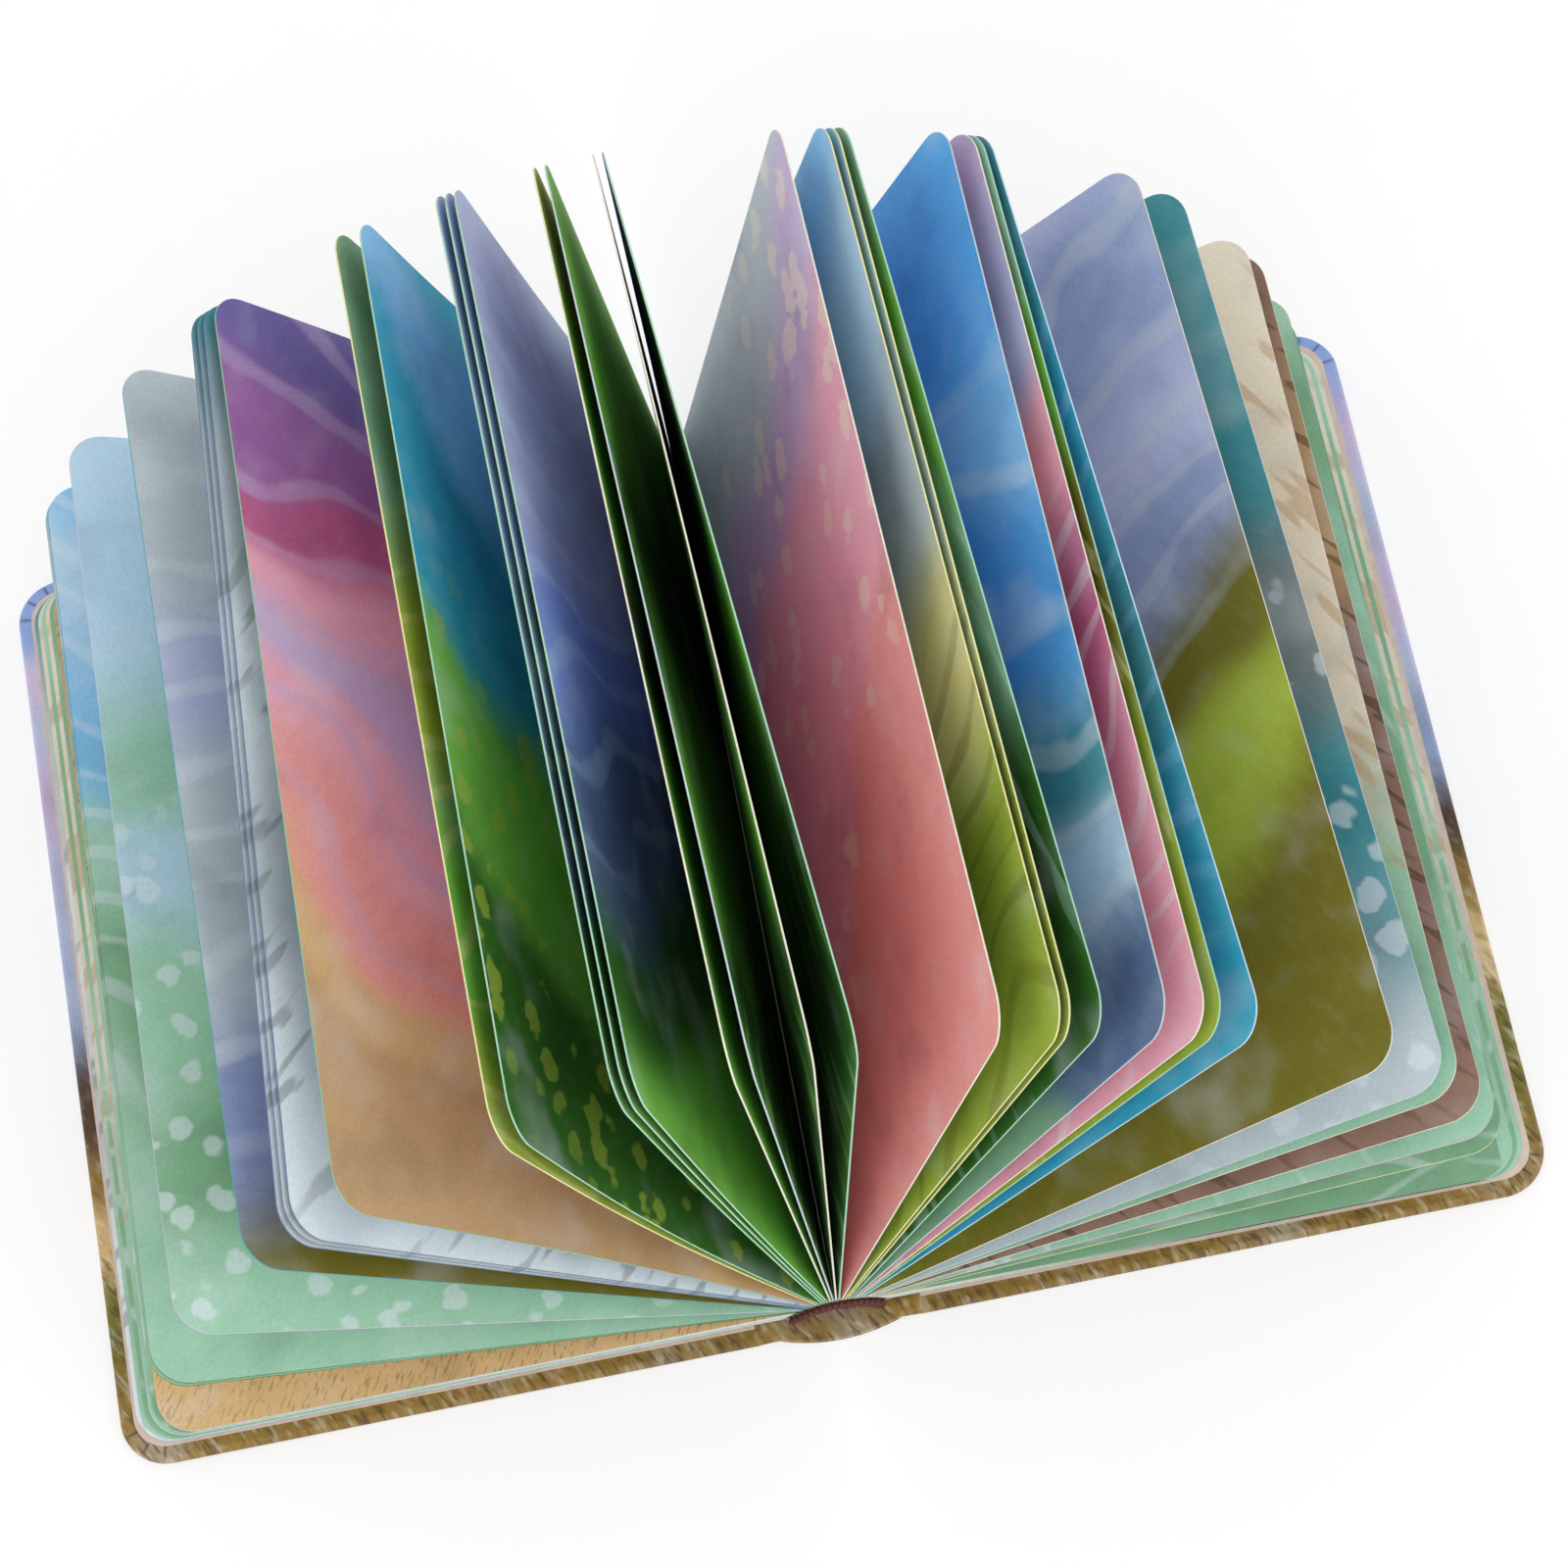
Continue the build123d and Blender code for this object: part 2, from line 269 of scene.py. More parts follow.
class JournalSizes(bpy.types.PropertyGroup):
    """The sizes that shape the pieces."""

    leaf_width: length("Leaf width", "From the fold to the fore-edge", 133.5)
    leaf_height: length("Leaf height", "From tail to head", 203.0)
    leaf_thickness: length("Leaf thickness", "Thickness of one leaf", 0.36)
    leaf_corner: length("Leaf corner", "Radius of the outer corners", 8.0)
    gutter: length("Gutter", "How far a leaf bends beside the fold when the book closes", 8.0)
    back_width: length("Back width", "Width of the bound back", 22.0)
    back_rise: length("Back rise", "How far the bound back arches", 5.0)
    back_crown: length("Back crown", "Height of the top of the arch", 9.3)
    back_thickness: length("Back thickness", "Thickness of the bound back", 1.8)
    cover_corner: length("Cover corner", "Radius of the covers' outer corners", 10.0)
    cover_fold: length("Cover fold", "Roundness of the covering's folds", 1.1)
    turn_in: length("Turn-in", "Width of the covering folded inside", 15.0)
    rib_pitch: length("Rib pitch", "From one rib of a band to the next", 1.25)


class JournalPanel(bpy.types.Panel):
    """Lists the pieces of the journal."""

    bl_idname = "VIEW3D_PT_journal"
    bl_label = "Journal"
    bl_space_type = "VIEW_3D"
    bl_region_type = "UI"
    bl_category = "Journal"

    def draw(self, context):
        for operator in OPERATORS:
            self.layout.operator(operator.bl_idname)
        for group in (context.scene.journal_sizes, context.scene.journal_paints):
            column = self.layout.column()
            for name in group.bl_rna.properties.keys():
                if name not in ("rna_type", "name"):
                    column.prop(group, name)


def sizes():
    """The sizes set in the sidebar."""
    return bpy.context.scene.journal_sizes


def paint(name):
    """A named colour as the shaders want it."""
    shades = getattr(bpy.context.scene.journal_paints, name)
    return tuple(s / 12.92 if s <= 0.04045 else ((s + 0.055) / 1.055) ** 2.4 for s in shades) + (1.0,)


class Nodes:
    """Adds nodes to a tree and links them up."""

    def __init__(self, tree):
        self.tree = tree
        tree.nodes.clear()

    def add(self, kind, inputs=(), **settings):
        """Adds a node, sets it and feeds its inputs, each with a value or with another node's output."""
        node = self.tree.nodes.new(kind)
        for key, value in settings.items():
            setattr(node, key, value)
        for key, value in dict(inputs).items():
            if isinstance(value, bpy.types.NodeSocket):
                self.tree.links.new(value, node.inputs[key])
            else:
                node.inputs[key].default_value = value
        return node

    def math(self, operation, first, second=0.0):
        """One sum on two numbers."""
        return self.add("ShaderNodeMath", {0: first, 1: second}, operation=operation).outputs[0]

    def noise(self, vector, scale, detail=1.0, roughness=0.55, space="2D"):
        """Soft cloudy noise, on a flat sheet or through a solid."""
        inputs = {"Vector": vector, "Scale": scale, "Detail": detail, "Roughness": roughness}
        return self.add("ShaderNodeTexNoise", inputs, noise_dimensions=space).outputs["Fac"]

    def stretch(self, vector, place, scale, turn=0.0):
        """Coordinates turned, then stretched and moved."""
        if turn:
            turned = {"Vector": vector, "Angle": turn}
            vector = self.add("ShaderNodeVectorRotate", turned, rotation_type="Z_AXIS").outputs[0]
        return self.add("ShaderNodeMapping", {"Vector": vector, "Location": place, "Scale": scale}).outputs[0]

    def fade(self, value, low, high):
        """0 below the low end, 1 above the high end and a smooth step between them."""
        inputs = {"Value": value, "From Min": low, "From Max": high}
        return self.add("ShaderNodeMapRange", inputs, interpolation_type="SMOOTHSTEP").outputs[0]

    def mix(self, factor, first, second, blend="MIX"):
        """Two colours mixed."""
        node = self.add("ShaderNodeMix", data_type="RGBA", blend_type=blend)
        for socket, value in ((node.inputs[0], factor), (node.inputs[6], first), (node.inputs[7], second)):
            if isinstance(value, bpy.types.NodeSocket):
                self.tree.links.new(value, socket)
            else:
                socket.default_value = value
        return node.outputs[2]


def washed_paper(name, wash, seed, coordinates, sheen=0.0, streaks=0.08, grain=70.0, firm=0.14, combed=-1.0):
    """Paper with a painted wash; coordinates run from 0 at the head to 1 at the tail along their Y.

    The streaks of the brush start where the wash is combed, and the firm share of each colour is even.
    """
    tints, wander, slope, marks = wash
    material = bpy.data.materials.new(name)
    material.use_nodes = True
    nodes = Nodes(material.node_tree)
    place = coordinates(nodes)
    spot = nodes.stretch(place, (seed * 3.7, seed * 1.9, seed * 0.63), (1.0, 1.0, 1.0))
    parts = nodes.add("ShaderNodeSeparateXYZ", {0: place})
    across = parts.outputs[0]
    down = parts.outputs[1]

    # The borders between the colours wander as wet paint does, with slight brush marks along them
    strokes = nodes.stretch(spot, (0.0, 0.0, 0.0), (grain, grain * 0.4, grain), 0.5 + 0.2 * (seed % 5))
    brush = nodes.noise(strokes, 1.0)
    clouds = nodes.math("SUBTRACT", nodes.noise(spot, WANDER_SCALE, 1.5), 0.5)
    wandering = nodes.math("MULTIPLY", clouds, wander * WANDER_SHARE)
    ragged = nodes.math("MULTIPLY", nodes.math("SUBTRACT", brush, 0.5), RAGGED_SHARE)
    sloping = nodes.math("MULTIPLY", nodes.math("SUBTRACT", across, 0.33), slope)
    calm = nodes.math("ADD", nodes.math("ADD", down, wandering), sloping)
    level = nodes.math("ADD", calm, ragged)
    ramp = nodes.add("ShaderNodeValToRGB", {0: level})
    ramp.color_ramp.interpolation = "EASE"
    bands = ramp.color_ramp.elements
    while len(bands) < 2 * len(tints):
        bands.new(0.5)
    for index, tint in enumerate(tints):
        for edge in (0, 1):
            bands[2 * index + edge].position = (index + 0.5 + (-firm, firm)[edge]) / len(tints)
            bands[2 * index + edge].color = paint(tint)
    shade = ramp.outputs[0]

    # Blooms of thinner and thicker paint, and fine brush strokes
    bloom = nodes.noise(spot, BLOOM_SCALE, 2.0, 0.65)
    thin = nodes.math("MULTIPLY", nodes.fade(bloom, 0.5, 0.8), THIN_PAINT)
    shade = nodes.mix(thin, shade, paint("cloud"))
    thick = nodes.math("MULTIPLY", nodes.fade(bloom, 0.5, 0.2), THICK_PAINT)
    shade = nodes.mix(thick, shade, THICK_TINT, "MULTIPLY")
    streak = nodes.math("MULTIPLY", nodes.fade(level, combed, combed + 0.2), streaks)
    dark = nodes.math("MULTIPLY", nodes.fade(brush, 0.5, 0.8), streak)
    shade = nodes.mix(dark, shade, DARK_STREAK, "MULTIPLY")
    light = nodes.math("MULTIPLY", nodes.fade(brush, 0.5, 0.2), streak)
    shade = nodes.mix(light, shade, LIGHT_STREAK, "SCREEN")

    # Marks in one more colour
    kind, mark_tint, mark_place, mark_reach, number = marks
    if kind == "dab":
        dots = nodes.add("ShaderNodeTexVoronoi", {"Vector": spot, "Scale": number, "Randomness": 0.9})
        ragged = nodes.math("MULTIPLY", nodes.math("ADD", bloom, brush), 0.3)
        mark = nodes.fade(nodes.math("ADD", dots.outputs["Distance"], ragged), 0.66, 0.56)
    elif kind == "ripple":
        waves = nodes.math("SINE", nodes.math("MULTIPLY", calm, number * 2 * math.pi))
        mark = nodes.fade(nodes.math("ADD", waves, nodes.math("MULTIPLY", bloom, 1.2)), 1.1, 1.6)
    else:
        turn = 0.3 + 0.2 * (seed % 3)
        lines = nodes.stretch(spot, (7.0, 0.0, 0.0), (number * 3.0, number * 0.5, number), turn)
        mark = nodes.fade(nodes.noise(lines, 1.0), 0.58, 0.68)
    near = nodes.math("ABSOLUTE", nodes.math("SUBTRACT", level, mark_place))
    mark = nodes.math("MULTIPLY", mark, nodes.fade(near, mark_reach, mark_reach * 0.5))
    shade = nodes.mix(nodes.math("MULTIPLY", mark, MARK_STRENGTHS[kind]), shade, paint(mark_tint))

    # Painted shade in the creases, on a sheet that has any, and paper tooth
    painted_crease_shade = nodes.add("ShaderNodeAttribute", attribute_name="painted_crease_shade").outputs["Fac"]
    shade = nodes.mix(nodes.math("MULTIPLY", painted_crease_shade, PAINTED_CREASE_SHADE), shade, PAINTED_CREASE_TINT, "MULTIPLY")
    tooth = nodes.noise(place, TOOTH_SCALE, 0.0)
    shade = nodes.mix(nodes.math("MULTIPLY", tooth, TOOTH_SHADE), shade, TOOTH_TINT, "MULTIPLY")
    rough = nodes.math("ADD", nodes.math("MULTIPLY", tooth, 0.16), 0.62 - sheen)
    shader = nodes.add("ShaderNodeBsdfPrincipled", {"Base Color": shade, "Roughness": rough})
    shader.inputs["Specular IOR Level"].default_value = 0.3 + sheen
    nodes.add("ShaderNodeOutputMaterial", {0: shader.outputs[0]})
    return material


def leaf_place(nodes):
    """Coordinates on a leaf: across from the fold, and down from the head, in leaf heights."""
    flat = nodes.add("ShaderNodeUVMap", uv_map="leaf").outputs[0]
    return nodes.stretch(flat, (0.0, 1.0, 0.0), (LEAF_SHARE, -1.0, 1.0))


def cover_place(nodes):
    """Coordinates on the case: across the open book, and down from the head, in cover heights."""
    solid = nodes.add("ShaderNodeTexCoord").outputs["Object"]
    return nodes.stretch(solid, (0.5, 0.5, 0.0), (COVER_SCALE, -COVER_SCALE, COVER_SCALE))


def plain_finish(name, tint, roughness, scale, contrast, depth, stretch=(1.0, 1.0, 1.0)):
    """One colour broken up by fibres or threads."""
    material = bpy.data.materials.new(name)
    material.use_nodes = True
    nodes = Nodes(material.node_tree)
    solid = nodes.add("ShaderNodeTexCoord").outputs["Object"]
    fibres = nodes.noise(nodes.stretch(solid, (0.0, 0.0, 0.0), stretch), scale, 4.0, 0.6, "3D")
    shade = nodes.mix(nodes.math("MULTIPLY", nodes.fade(fibres, 0.3, 0.7), contrast), paint(tint),
                      tuple(value * 0.45 for value in paint(tint)[:3]) + (1.0,))
    bump = nodes.add("ShaderNodeBump", {"Strength": 0.4, "Distance": depth, "Height": fibres}).outputs[0]
    rough = nodes.math("ADD", nodes.math("MULTIPLY", fibres, 0.2), roughness)
    shader = nodes.add("ShaderNodeBsdfPrincipled", {"Base Color": shade, "Roughness": rough, "Normal": bump})
    nodes.add("ShaderNodeOutputMaterial", {0: shader.outputs[0]})
    return material


def kept(name, make, *details):
    """A material made once and then used again."""
    return bpy.data.materials.get(name) or make(name, *details)


def wash_paper(name):
    """The painted paper of one opening."""
    return kept(f"{name}_wash", washed_paper, WASHES[name], 1 + list(WASHES).index(name), leaf_place)


def covering_paper():
    """The printed covering of the case."""
    return kept("covering_paper", washed_paper, COVERING, 40, cover_place, 0.12, 0.7, 110.0, 0.05, 0.5)


def grey_board():
    """The card of the boards and the spine."""
    return kept("grey_board", plain_finish, "stone", 0.75, 500.0, 0.4, 0.0002)


def edge_paper(tint):
    """The cut edge of a leaf, tinged by its print."""
    return kept(f"leaf_edge_{tint}", plain_finish, tint, 0.7, 900.0, 0.25, 0.0001)


def refinish(name, material):
    """Gives a solid of the frame a better finish."""
    materials = bpy.data.objects[name].data.materials
    materials.clear()
    materials.append(material)


def new_piece(name, points, faces, materials, face_materials=None, smooth=True):
    """A mesh object with its place in its mesh."""
    mesh = bpy.data.meshes.new(name)
    mesh.from_pydata(points, [], faces)
    for material in materials:
        mesh.materials.append(material)
    for face, index in zip(mesh.polygons, face_materials or [0] * len(faces)):
        face.material_index = index
        face.use_smooth = smooth
    mesh.set_sharp_from_angle(angle=math.radians(EDGE_ANGLE))
    mesh.validate()
    piece = bpy.data.objects.new(name, mesh)
    bpy.context.scene.collection.objects.link(piece)
    return piece


def grid_faces(rows, columns, first=0):
    """Faces between neighbouring rows of points."""
    faces = []
    for row in range(rows - 1):
        start = first + row * columns
        for corner in range(start, start + columns - 1):
            faces.append((corner, corner + 1, corner + columns + 1, corner + columns))
    return faces


def back_arch():
    """Radius, centre height and half angle of the bound back's arch."""
    size = sizes()
    radius = (size.back_width**2 / 4 + size.back_rise**2) / (2 * size.back_rise)
    return radius, size.back_crown - radius, math.asin(size.back_width / 2 / radius)


def arch_point(place, depth=0.0, height=0.0):
    """A point of the arch, from -1 at the front cover's side to 1 at the back cover's."""
    radius, centre, half_angle = back_arch()
    turn = place * half_angle
    return Vector(((radius - depth) * math.sin(turn), height, centre + (radius - depth) * math.cos(turn)))


def leaf_direction(angle):
    """The way a leaf points at an angle counted up from the front cover's side."""
    return Vector((-math.cos(math.radians(angle)), 0.0, math.sin(math.radians(angle))))


def leaf_normal(angle):
    """The way the leaf's side towards the back cover faces."""
    return Vector((math.sin(math.radians(angle)), 0.0, math.cos(math.radians(angle))))


class Leaf:
    """One leaf of the fan."""

    def __init__(self, place, tail, head, bow, washes, edge, index, longer=0.0):
        self.root = arch_point(place)
        self.tail = tail
        self.head = head
        self.bow = bow * MM
        self.before, self.after = washes
        self.edge = edge
        self.longer = longer
        self.index = index
        self.angle = (tail + head) / 2
        self.gutter = sizes().gutter

    def outer(self):
        """Reaches from the gutter to the fore-edge, close together at the rounded corners."""
        size = sizes()
        reach_out = size.leaf_width - size.leaf_corner
        straight = [self.gutter + (reach_out - self.gutter) * step / 12 for step in range(12)]
        rounded = [reach_out + size.leaf_corner * math.sin(math.pi / 2 * step / 9) for step in range(10)]
        return straight + rounded

    def inner(self):
        """Reaches from just inside the bound back to the end of the gutter."""
        return [(step / 8) * (self.gutter + MM) - MM for step in range(9)]

    def point(self, reach, height, side):
        """A point of the leaf, at a reach from the fold and a height from the tail, on one of its sides."""
        size = sizes()
        share = height / size.leaf_height
        along = leaf_direction(self.tail) * (1 - share) + leaf_direction(self.head) * share
        facing = leaf_normal(self.tail + (self.head - self.tail) * share)
        out = max(0.0, reach) / size.leaf_width
        lift = self.bow * math.sin(math.pi * out) + side * size.leaf_thickness / 2
        reach *= 1 + self.longer / size.leaf_width
        return self.root + along * reach + facing * lift + Vector((0.0, height - size.leaf_height / 2, 0.0))


def leaf_slab(leaf, reaches, rows=14):
    """Points, faces, face materials and flat coordinates of a leaf between its first and last reach."""
    size = sizes()
    points, flat = [], []
    for side in (1, -1):
        for reach in reaches:
            rounding = max(0.0, reach - size.leaf_width + size.leaf_corner)
            cut = size.leaf_corner - math.sqrt(max(0.0, size.leaf_corner**2 - rounding**2))
            for row in range(rows):
                height = cut + (size.leaf_height - 2 * cut) * row / (rows - 1)
                points.append(leaf.point(reach, height, side))
                flat.append((reach / size.leaf_width, height / size.leaf_height))
    columns = len(reaches)
    count = columns * rows
    upper = grid_faces(columns, rows)
    lower = [tuple(reversed(face)) for face in grid_faces(columns, rows, count)]
    rim = list(range(rows))
    rim += [column * rows + rows - 1 for column in range(1, columns)]
    rim += [(columns - 1) * rows + row for row in range(rows - 2, -1, -1)]
    rim += [column * rows for column in range(columns - 2, 0, -1)]
    edge = [(rim[i - 1] + count, rim[i] + count, rim[i], rim[i - 1]) for i in range(len(rim))]
    return points, upper + lower + edge, [0] * len(upper) + [1] * len(lower) + [2] * len(edge), flat


def leaf_piece(name, leaves, part):
    """The outer or inner part of one or more leaves that lie together."""
    points, faces, tones, flat = [], [], [], []
    for order, leaf in enumerate(leaves):
        slab = leaf_slab(leaf, getattr(leaf, part)())
        faces += [tuple(len(points) + corner for corner in face) for face in slab[1]]
        points += slab[0]
        tones += [tone + 3 * order for tone in slab[2]]
        flat += slab[3]
    papers = []
    for leaf in leaves:
        papers += [wash_paper(leaf.after), wash_paper(leaf.before), edge_paper(leaf.edge)]
    piece = new_piece(name, points, faces, papers, tones)
    layer = piece.data.uv_layers.new(name="leaf")
    for loop in piece.data.loops:
        layer.data[loop.index].uv = flat[loop.vertex_index]
    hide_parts("pages")
    return piece


class JOURNAL_OT_leaves(bpy.types.Operator):
    """Makes the leaves of the fan, with a separate gutter piece beside the fold of each"""

    bl_idname = "journal.leaves"
    bl_label = "Leaves"

    def execute(self, context):
        total = sum(group[0] for group in FAN)
        number = 0
        before = "sand"
        for count, tail, head, step_angle, bow, after, edge in FAN:
            leaves = []
            for step in range(count):
                place = (2 * number + 1) / total - 1
                turned = step * step_angle if tail < 180 else (step - count + 1) * step_angle
                below = count - 1 - step if tail < 90 else step
                longer = SHINGLE * below if count > LYING_COUNT else 0.0
                washes = (STACK_WASHES[below - 1],) * 2 if longer else (before, after)
                tint = STACK_EDGES[below - 1] if longer else edge
                leaves.append(Leaf(place, tail + turned, head + turned, bow, washes, tint, number, longer))
                number += 1
            before = after
            if count > LYING_COUNT:
                self.lying(leaves)
                continue
            for leaf in leaves:
                self.standing(leaf)
        return {"FINISHED"}

    def lying(self, leaves):
        """The leaves that lie on a cover and go with it, all from one line beside the bound back."""
        middle = leaves[len(leaves) // 2]
        front = middle.angle < 90
        cover = "front_cover" if front else "back_cover"
        name = "front" if front else "back"
        widest = max(abs(leaf.root.x) for leaf in leaves)
        for leaf in leaves:
            leaf.gutter += widest - abs(leaf.root.x)
        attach(leaf_piece(f"{name}_lying_leaves", leaves, "outer"), cover)
        bend = leaf_piece(f"{name}_lying_gutters", leaves, "inner")
        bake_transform(bend)

    def standing(self, leaf):
        """A leaf that stands in the fan, made as its outer part and its gutter."""
        piece = leaf_piece(f"leaf_{leaf.index + 1:02d}", [leaf], "outer")
        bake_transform(piece)
        bend = leaf_piece(f"leaf_{leaf.index + 1:02d}_gutter", [leaf], "inner")
        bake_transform(bend)


class JOURNAL_OT_back(bpy.types.Operator):
    """Makes the glued and arched back that holds the leaves"""

    bl_idname = "journal.back"
    bl_label = "Bound back"

    def execute(self, context):
        size = sizes()
        steps = 33
        points = []
        for depth in (0.0, size.back_thickness):
            for height in (-size.leaf_height / 2, size.leaf_height / 2):
                points += [arch_point(2 * step / (steps - 1) - 1, depth, height) for step in range(steps)]
        top_tail, top_head, low_tail, low_head = (range(n * steps, (n + 1) * steps) for n in range(4))
        faces = []
        around = (top_tail, top_head, low_head, low_tail, top_tail)
        for first, second in zip(around, around[1:]):
            faces += [(first[i], first[i + 1], second[i + 1], second[i]) for i in range(steps - 1)]
        for end in (0, -1):
            loop = (top_tail[end], top_head[end], low_head[end], low_tail[end])
            faces.append(loop if end == 0 else tuple(reversed(loop)))
        glue = kept("bound_folds", plain_finish, "cream", 0.7, 700.0, 0.5, 0.0002, (1.0, 0.05, 1.0))
        piece = new_piece("bound_back", points, faces, [glue])
        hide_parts("pages")
        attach(piece, "spine")
        return {"FINISHED"}


def cover_ring(side, inset, height, pleats):
    """One line round a cover's three free sides, in from its edge; the pleats dip at the rounded corners."""
    size = sizes()
    inner, low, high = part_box("front_covering")[1].x, *(corner.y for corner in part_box("front_covering"))
    outer = -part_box("front_covering")[0].x - inset
    radius = max(size.cover_corner - inset, 0.2 * MM)
    ring = [Vector((-inner, low + inset, height))]
    for end in (-1, 1):
        for step in range(PLEAT_STEPS + 1):
            turn = math.pi / 2 * (step / PLEAT_STEPS - (1 if end < 0 else 0))
            centre = (outer - radius, (low if end < 0 else high) - end * (inset + radius))
            dip = pleats * PLEATS[step % len(PLEATS)] if 0 < step < PLEAT_STEPS else 0.0
            spot = (centre[0] + radius * math.cos(turn), centre[1] + radius * math.sin(turn), height - dip)
            ring.append(Vector(spot))
    ring.append(Vector((-inner, high - inset, height)))
    return [Vector((point.x * side, point.y, point.z)) for point in ring]


def made_thick(piece, thickness):
    """Gives a sheet its thickness on the inner side and keeps the result as a plain mesh."""
    wall = piece.modifiers.new("thickness", "SOLIDIFY")
    wall.thickness = thickness
    wall.offset = -1.0
    wall.use_even_offset = True
    return made_plain(piece)


def made_plain(piece):
    """Keeps what the modifiers make as a plain mesh."""
    bpy.context.view_layer.update()
    mesh = bpy.data.meshes.new_from_object(piece.evaluated_get(bpy.context.evaluated_depsgraph_get()))
    piece.modifiers.clear()
    piece.data = mesh
    return piece


class JOURNAL_OT_covers(bpy.types.Operator):
    """Makes the covering of each board, folded round its edges, and finishes the boards and endpapers"""

    bl_idname = "journal.covers"
    bl_label = "Covers"

    def execute(self, context):
        for side, name in ((-1, "front"), (1, "back")):
            self.covering(side, name)
            refinish(f"{name}_board", grey_board())
            paper = kept("endpaper_fibres", plain_finish, "linen", 0.7, 350.0, 0.2, 0.0001)
            refinish(f"{name}_pastedown", paper)
        return {"FINISHED"}

    def covering(self, side, name):
        """The covering of one board: from the turn-in's edge over the fold to the outer face."""
        size = sizes()
        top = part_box(f"{name}_covering")[1].z
        fold = size.cover_fold
        profile = [(size.turn_in, top, 0.0), (size.cover_corner * 0.6, top, 0.7), (fold * 2, top, 1.0)]
        for step in range(7):
            turn = math.pi / 2 * step / 6
            profile.append((fold * (1 - math.sin(turn)), top - fold * (1 - math.cos(turn)), 1.0 - step / 6))
        for step in range(7):
            turn = math.pi / 2 * step / 6
            profile.append((fold * (1 - math.cos(turn)), fold * (1 - math.sin(turn)), 0.0))
        rings = [cover_ring(side, inset, height, pleats * PLEAT_DEPTH) for inset, height, pleats in profile]
        columns = len(rings[0])
        faces = grid_faces(len(rings), columns)
        faces.append(tuple(range((len(rings) - 1) * columns, len(rings) * columns)))
        if side > 0:
            faces = [tuple(reversed(face)) for face in faces]
        points = [point for ring in rings for point in ring]
        piece = new_piece(f"{name}_cover_sheet", points, faces, [covering_paper()])
        # How deep each point dips into a pleat sets how much painted shade the creases get there
        painted_crease_shade = piece.data.attributes.new("painted_crease_shade", "FLOAT", "POINT")
        for index, point in enumerate(piece.data.vertices):
            dip = profile[index // columns][1] - point.co.z
            painted_crease_shade.data[index].value = max(0.0, dip) / PLEAT_DEPTH
        made_thick(piece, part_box(f"{name}_board")[0].z)
        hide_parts(f"{name}_covering")
        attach(piece, f"{name}_cover")


class JOURNAL_OT_spine(bpy.types.Operator):
    """Finishes the spine and makes the flexible strips of covering in the grooves"""

    bl_idname = "journal.spine"
    bl_label = "Spine and grooves"
    # Finishes the spine and makes the strips of covering in the grooves

    def execute(self, context):
        refinish("spine_covering", covering_paper())
        refinish("spine_card", grey_board())
        refinish("spine_lining", kept("lining_cloth", plain_finish, "cream", 0.8, 1200.0, 0.5, 0.0003))
        for side, name in ((-1, "front"), (1, "back")):
            self.groove(side, name)
        return {"FINISHED"}

    def groove(self, side, name):
        """The strip that dips between the spine and one board, doubled where it is turned in."""
        size = sizes()
        low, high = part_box(f"{name}_joint")
        near, far = sorted((abs(low.x), abs(high.x)))
        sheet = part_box(f"{name}_board")[0].z
        columns = 17
        spine_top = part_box("spine_card")[1].z + sheet
        cover_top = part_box(f"{name}_covering")[1].z
        tail = low.y + size.turn_in
        head = high.y - size.turn_in
        points, faces = [], []
        for start, end, turned in ((low.y, tail, True), (tail, head, False), (head, high.y, True)):
            first = len(points)
            outline = ((start, 0), (end, 0), (end, 1), (start, 1), (start, 0))
            if turned:
                outline = self.folded(start, end, low.y, high.y)
            for height, level in outline:
                for column in range(columns):
                    share = column / (columns - 1)
                    dip = GROOVE_DEPTH * 4 * share * (1 - share) * (END_DIP if turned else 1.0)
                    dip += GROOVE_START * (1 - share) * (1 - share if turned else 1 - 2 * share)
                    rise = share * share * (3 - 2 * share)
                    above = spine_top + (cover_top - spine_top) * rise if turned else dip + sheet
                    place = (side * (near + (far - near) * share), height, dip + (above - dip) * level)
                    points.append(Vector(place))
            rows = len(outline)
            faces += grid_faces(rows, columns, first)
            faces.append(tuple(first + row * columns for row in range(rows - 1)))
            faces.append(tuple(first + row * columns + columns - 1 for row in range(rows - 2, -1, -1)))
        if side > 0:
            faces = [tuple(reversed(face)) for face in faces]
        piece = new_piece(f"{name}_groove", points, faces, [covering_paper()])
        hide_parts(f"{name}_joint")
        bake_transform(piece)

    def folded(self, start, end, tail, head):
        """The line round a turned-in end of the strip, rounded where the covering folds over."""
        fold = sizes().cover_fold
        turns = (0.0, 0.4, 0.8, 1.2, math.pi / 2)
        arc = [(fold * (1 - math.sin(turn)), 1 - (1 - math.cos(turn)) / 3) for turn in turns]
        arc += [(fold * (1 - math.cos(turn)), (1 - math.sin(turn)) / 3) for turn in turns]
        if start == tail:
            return [(end, 0), (end, 1)] + [(start + inset, level) for inset, level in arc] + [(end, 0)]
        back = [(end - inset, level) for inset, level in reversed(arc)]
        return [(start, 0)] + back + [(start, 1), (start, 0)]


